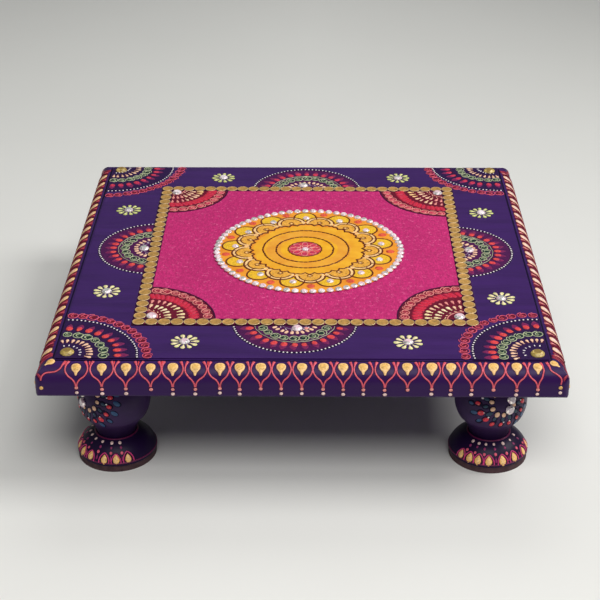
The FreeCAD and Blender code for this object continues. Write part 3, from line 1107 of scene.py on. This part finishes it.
def clusters(node):
    """Middle of each separate solid of a node: (x, y, lowest z), in millimetres."""
    work = bmesh.new()
    work.from_mesh(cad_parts[node].data)
    bmesh.ops.remove_doubles(work, verts=work.verts, dist=1e-6)
    seen, found = set(), []
    for start in work.verts:
        if start in seen:
            continue
        stack, island = [start], []
        seen.add(start)
        while stack:
            v = stack.pop()
            island.append(v.co.copy())
            for e in v.link_edges:
                other = e.other_vert(v)
                if other not in seen:
                    seen.add(other)
                    stack.append(other)
        low = [min(c[i] for c in island) for i in range(3)]
        high = [max(c[i] for c in island) for i in range(3)]
        found.append(((low[0] + high[0]) / 2 / MM, (low[1] + high[1]) / 2 / MM, low[2] / MM))
    work.free()
    return found


def cut_stone(width):
    """Round stone with a girdle, two rows of crown facets and a table."""
    rows = ((16, 1.0, 0.0, 0.0), (16, 1.0, 0.07, 0.0), (8, 0.82, 0.18, 0.5), (8, 0.6, 0.25, 0.0))
    points = [Vector((size * width / 2 * c, size * width / 2 * s, rise * width))
              for count, size, rise, shift in rows for c, s in turns(count, shift)]
    girdle, crown, table = 16, 32, 40
    faces = [ring(0, 16), tuple(range(table, table + 8))] + walls(2, 16)
    for i in range(8):
        j = (i + 1) % 8
        first, second, third = girdle + 2 * i, girdle + 2 * i + 1, girdle + 2 * j
        faces += [(first, second, crown + i), (second, third, crown + i),
                  (third, crown + j, table + j, crown + i), (crown + i, table + j, table + i)]
    return points, faces


def add_stone(stones, stone, spin, seat, table, kinds):
    """Adds one stone with the table's material given and that of every other facet at random."""
    points, faces = stone
    tones = [table if i == 1 else rng.choice(kinds) for i in range(len(faces))]
    stones.add([(spin @ p + seat) * MM for p in points], faces, tones)


def set_stones(node, width, materials, slot, table=None):
    """Cut stones in the places of a node's plain ones, with the table's material at random or given."""
    stones = Gathered()
    for place in clusters(node):
        spin = Matrix.Rotation(rng.uniform(0, 6.28), 3, "Z")
        kind = rng.choice((0, 1, 2)) if table is None else table
        add_stone(stones, cut_stone(width), spin, Vector(place), kind, (0, 0, 1, 2))
    made = piece(node + "_cut", stones, materials, slot, soft=False)
    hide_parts(node)


def set_leg_stones(materials):
    """Two cut stones on each ball, about the middle of its painted patch."""
    stones = Gathered()
    for x, y, bearing, _ in legs:
        for turn, rise in leg_stone_places:
            out = facing(bearing + copysign(turn, bearing), rise)
            spin = Vector((0, 0, 1)).rotation_difference(out).to_matrix()
            seat = Vector((x, y, ball_z)) + out * ball_radius
            add_stone(stones, cut_stone(5.9), spin, seat, 0, (0, 1, 1, 2))
    made = piece("leg_stones_cut", stones, materials, "clear_stone", soft=False)
    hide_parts("leg_stones")


def set_discs(face, rim):
    """Dished discs with a raised rim, each a little tilted, in the places of the trim's plain ones."""
    sides = 28
    rows = ((3.76, 0.0), (3.78, 0.2), (3.7, 0.32), (3.54, 0.35), (3.36, 0.31), (3.2, 0.22), (1.6, 0.2))
    faces = [ring(0, sides)] + walls(len(rows), sides) + tip(len(rows), sides)
    kinds = [1] * (1 + 4 * sides) + [0] * (3 * sides)
    discs = Gathered()
    for x, y, z in clusters("border_trim"):
        lean_x, lean_y = rng.gauss(0, 0.008), rng.gauss(0, 0.008)
        points = []
        for r, h in rows:
            for c, s in turns(sides):
                u, v = r * c, r * s
                points.append(Vector((x + u, y + v, z + h + (u * lean_x + v * lean_y) * (h > 0))) * MM)
        discs.add(points + [Vector((x, y, z + 0.2)) * MM], faces, kinds)
    made = piece("border_discs", discs, [face, rim], "gold_disc")
    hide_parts("border_trim")


def lay_cloth(material):
    """Square of cloth, glued flat to the board, with a slight unevenness between its edges."""
    low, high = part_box("centre_panel")
    count = 60
    side = count + 1
    points = []
    for level in (0, 1):
        for i in range(side):
            for j in range(side):
                u, v = i / count, j / count
                x, y = low.x + (high.x - low.x) * u, low.y + (high.y - low.y) * v
                swell = sin(pi * u) * sin(pi * v)
                wave = 0.02 * MM * swell * sin(9.0 * u + 2.0 * v) * sin(7.0 * v + 1.0)
                points.append(Vector((x, y, high.z + wave if level else low.z)))
    faces = []
    for base in (0, side * side):
        for i in range(count):
            for a in range(base + i * side, base + i * side + count):
                faces.append((a, a + side, a + side + 1, a + 1))
    rim = [i * side for i in range(side)] + [count * side + j for j in range(1, side)]
    rim += [i * side + count for i in range(count - 1, -1, -1)] + list(range(count - 1, 0, -1))
    for a, b in zip(rim, rim[1:] + rim[:1]):
        faces.append((a, b, b + side * side, a + side * side))
    cloth = Gathered()
    cloth.add(points, faces)
    made = piece("panel_cloth_sheet", cloth, [material], "panel_cloth", soft=False)
    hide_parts("centre_panel")


# Studio, with its lengths in metres

def paper(name):
    """Matte paper, with painted shade: a little darker towards the back, to the right and in the far corners.
    """
    m = Nodes(name, Roughness=0.9)
    # Painted shade: the paper's colour darkens towards the back, and further below to the right and in the
    # far corners.
    tones = ((0.0, (228, 227, 222)), (0.42, (222, 222, 217)), (0.66, (214, 214, 210)), (1.0, (206, 207, 202)))
    base = m.ramp(m.span(m.axis(1), -0.3, 1.8), [(at, linear(rgb)) for at, rgb in tones])
    base = m.mix(m.span(m.noise(8.0, 3.0), 0.3, 0.7, 0.0, 0.08), base, linear((205, 203, 198)))
    across = m.span(m.axis(0), -0.45, 0.45, 0.11, -0.09)
    back = m.span(m.axis(1), 0.0, 0.9, 0.0, 0.9)
    aside = m.span(m.math("ABSOLUTE", m.axis(0)), 0.0, 0.5, 0.0, 0.5)
    corner = m.math("MULTIPLY", m.math("MULTIPLY", aside, back), -0.4)
    painted_falloff = m.math("ADD", m.math("ADD", across, corner), m.math("MULTIPLY", back, -0.18))
    m.colour(m.mix(1.0, base, m.math("ADD", painted_falloff, 1.0), "MULTIPLY"))
    return m.material


def backdrop():
    """Pale floor that bends up into a wall behind the table."""
    bend_start, bend_radius, half_width = 1.6, 1.2, 5.0
    profile = [(-4.0, 0.0), (0.6, 0.0), (bend_start, 0.0)]
    for i in range(1, 13):
        a = pi / 2 * i / 12
        profile.append((bend_start + bend_radius * sin(a), bend_radius - bend_radius * cos(a)))
    profile.append((bend_start + bend_radius, 5.0))
    count = len(profile)
    mesh = bpy.data.meshes.new("studio_floor")
    mesh.from_pydata([(x, y, z) for x in (-half_width, half_width) for y, z in profile], [],
                     [(i, count + i, count + i + 1, i + 1) for i in range(count - 1)])
    for polygon in mesh.polygons:
        polygon.use_smooth = True
    mesh.materials.append(paper("studio_paper"))
    made = bpy.data.objects.new("studio_floor", mesh)
    bpy.context.collection.objects.link(made)


def lamp(name, place, target, width, height, watts):
    """White area light that looks at a target."""
    light = bpy.data.lights.new(name, "AREA")
    light.shape = "RECTANGLE"
    light.size, light.size_y = width, height
    light.energy = watts
    made = bpy.data.objects.new(name, light)
    made.location = place
    made.rotation_euler = (Vector(target) - Vector(place)).to_track_quat("-Z", "Y").to_euler()
    bpy.context.collection.objects.link(made)
    return made


def light_studio():
    lamp("key", (0.95, -0.05, 1.2), (0.0, 0.0, 0.03), 0.7, 0.7, 13.4)
    lamp("front", (0.1, -1.0, 1.5), (0.0, 0.0, 0.03), 1.0, 0.8, 14.1)
    rear = lamp("rear", (0.1, 1.1, 1.3), (0.0, 0.0, 0.0), 1.4, 0.7, 7.3)
    rear.visible_glossy = False
    world = bpy.data.worlds.new("studio")
    world.use_nodes = True
    background = world.node_tree.nodes["Background"]
    background.inputs["Color"].default_value = (0.92, 0.93, 0.95, 1.0)
    background.inputs["Strength"].default_value = 0.19
    bpy.context.scene.world = world
    bpy.context.scene.view_settings.view_transform = "Standard"


def set_camera():
    """Camera that was fitted to the outline of the board, the feet and the row of discs."""
    camera = bpy.data.cameras.new("camera")
    camera.sensor_width = 36.0
    camera.lens = 89.26
    camera.clip_start, camera.clip_end = 0.05, 30.0
    made = bpy.data.objects.new("camera", camera)
    yaw, lean, roll = (radians(a) for a in (0.600, 90 - 27.685, -0.105))
    axes = Matrix.Rotation(yaw, 4, "Z") @ Matrix.Rotation(lean, 4, "X") @ Matrix.Rotation(roll, 4, "Z")
    made.matrix_world = Matrix.Translation(Vector((6.68, -877.85, 505.67)) * MM) @ axes
    bpy.context.collection.objects.link(made)
    bpy.context.scene.camera = made


def repaint(node, material):
    """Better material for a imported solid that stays."""
    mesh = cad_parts[node]
    for slot in mesh.material_slots:
        slot.material = material
    if not mesh.material_slots:
        mesh.data.materials.append(material)


set_camera()
light_studio()
backdrop()

# The board's moulded edge fades to a darker purple below the top: painted shade on the faces that get less
# light than the top.
repaint("top_board", wood_paint("purple_paint", (58, 30, 91), (46, 12, 74), 78.5, 80.4))
# The legs darken below the ball: the feet's own darker paint, with painted shade on the waist under the ball.
turn_legs(wood_paint("leg_paint", (56, 34, 78), (28, 10, 48), 19.0, 30.0))
repaint("foot_pads", rubber("pad_rubber", (80, 58, 62)))
lay_cloth(raw_silk("magenta_silk", (184, 42, 106)))
repaint("mandala_ground", enamel_bands("yellow_enamel", (
    (18.6, (240, 180, 38)), (27.8, (234, 166, 54)), (36.0, (238, 176, 44)), (70.0, (236, 156, 46)))))

paint_top()
paint_mandala()
paint_edges()
paint_legs()

# Clear stones: facets take white, rose and grey at random; the grey facets are painted dark reflections.
clear = [stone_face(name, rgb) for name, rgb in (
    ("stone_white", (250, 236, 240)), ("stone_rose", (238, 204, 214)), ("stone_painted_dark_reflection", (180, 182, 176)))]
# Brass stones: plain facets, with a lighter copy as painted highlight and a darker copy as painted shade on
# other facets.
golden = [stone_face(name, rgb, 0.4, 0.0) for name, rgb in (
    ("brass_plain", (188, 160, 82)), ("brass_painted_highlight", (232, 204, 124)), ("brass_painted_shade", (142, 114, 54)))]
for node, width in (("ring_stones", 4.6), ("petal_stones", 4.6), ("centre_stone", 4.6),
                    ("panel_corner_stones", 6.6), ("side_stones", 6.5), ("flower_stones", 6.2)):
    set_stones(node, width, clear, "clear_stone")
# The brass stones' tables take the darker copy, a painted shade.
set_stones("corner_stones", 8.2, golden, "gold_stone", 2)
foil = Nodes("stone_foil", Metallic=1.0, Roughness=0.1)
foil_tones = ((0.4, linear((250, 244, 236))), (0.7, linear((236, 226, 222))))
foil.colour(foil.ramp(foil.noise(500.0, 2.0), foil_tones))
set_leg_stones([clear[0], foil.material, clear[1]])
set_discs(worn_metal("disc_face", (222, 172, 96), 0.5), worn_metal("disc_rim", (246, 212, 160), 0.4))
